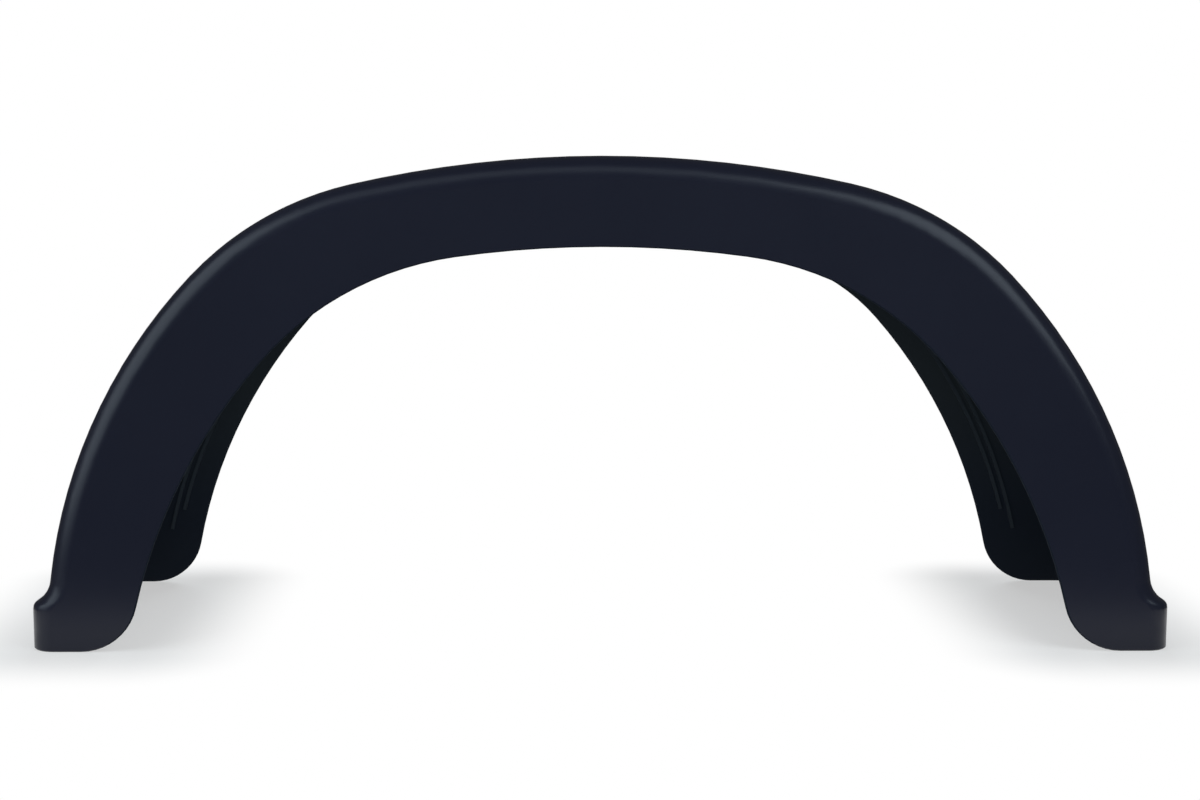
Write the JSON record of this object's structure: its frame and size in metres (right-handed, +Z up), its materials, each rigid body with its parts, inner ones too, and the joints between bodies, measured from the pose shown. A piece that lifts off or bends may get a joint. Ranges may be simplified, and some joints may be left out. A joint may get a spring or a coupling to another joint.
{
  "type": "trailer mudguard",
  "caption": "Moulded plastic arch that covers a trailer wheel: curved tread with rounded edges, a skirt at either side trimmed to a wheel mouth, and a stepped lip at each foot.",
  "frame": {"origin": "on the ground plane of the feet, under the middle of the arch, halfway between the two skirts", "axes": "+X along the trailer from foot to foot, +Y across it towards the skirt that carries the ribs, +Z up"},
  "size_m": [0.76, 0.22, 0.3267],
  "materials": {
    "black_plastic": "satin moulded plastic, blue-black, smooth with a soft sheen on the rounded edges"
  },
  "bodies": {
    "root": {"mudguard_shell": "black_plastic"}
  },
  "joints": []
}
